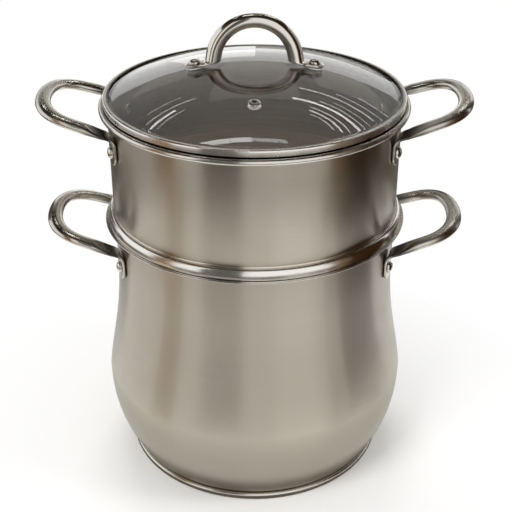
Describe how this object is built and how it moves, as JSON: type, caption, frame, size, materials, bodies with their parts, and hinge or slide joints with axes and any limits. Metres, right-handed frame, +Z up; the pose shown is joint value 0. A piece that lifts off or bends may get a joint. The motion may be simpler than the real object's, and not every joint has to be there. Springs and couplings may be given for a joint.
{
  "type": "couscoussier",
  "caption": "Bellied stainless steel pot with loop handles, a perforated steamer that stands in its mouth, and a domed glass lid with an arched handle.",
  "frame": {"origin": "on the common axis of pot, steamer and lid, at the underside of the pot's base", "axes": "+Z up along the common axis; the side handles and the lid handle's two feet lie along X; the lid's steam vent is at -Y, the side that faces the viewer"},
  "size_m": [0.3398, 0.253, 0.3803],
  "materials": {
    "satin_steel": "satin stainless steel",
    "polished_steel": "polished stainless steel",
    "aluminium": "pressed plate, enclosed",
    "glass": "clear tempered glass",
    "silicone": "matte washers"
  },
  "bodies": {
    "pot": {"pot_body": "satin_steel", "pot_base_cap": "polished_steel", "pot_base_core": "aluminium", "pot_handle_left": "polished_steel", "pot_handle_right": "polished_steel", "pot_rivet_left_front": "polished_steel", "pot_rivet_left_back": "polished_steel", "pot_rivet_right_front": "polished_steel", "pot_rivet_right_back": "polished_steel"},
    "steamer": {"steamer_body": "satin_steel", "steamer_floor": "satin_steel", "steamer_handle_left": "polished_steel", "steamer_handle_right": "polished_steel", "steamer_rivet_left_front": "polished_steel", "steamer_rivet_left_back": "polished_steel", "steamer_rivet_right_front": "polished_steel", "steamer_rivet_right_back": "polished_steel"},
    "lid": {"lid_glass": "glass", "lid_rim_band": "polished_steel", "vent_eyelet": "polished_steel", "lid_handle": "polished_steel", "lid_screw_left": "polished_steel", "lid_screw_right": "polished_steel", "outer_gasket_left": "silicone", "outer_gasket_right": "silicone", "inner_gasket_left": "silicone", "inner_gasket_right": "silicone", "lid_nut_left": "polished_steel", "lid_nut_right": "polished_steel"}
  },
  "joints": [
    {"name": "steamer_lift", "type": "slide", "parent": "pot", "child": "steamer", "axis": [0, 0, 1], "range_m": [0, 0.12]},
    {"name": "lid_lift", "type": "slide", "parent": "steamer", "child": "lid", "axis": [0, 0, 1], "range_m": [0, 0.09]}
  ]
}
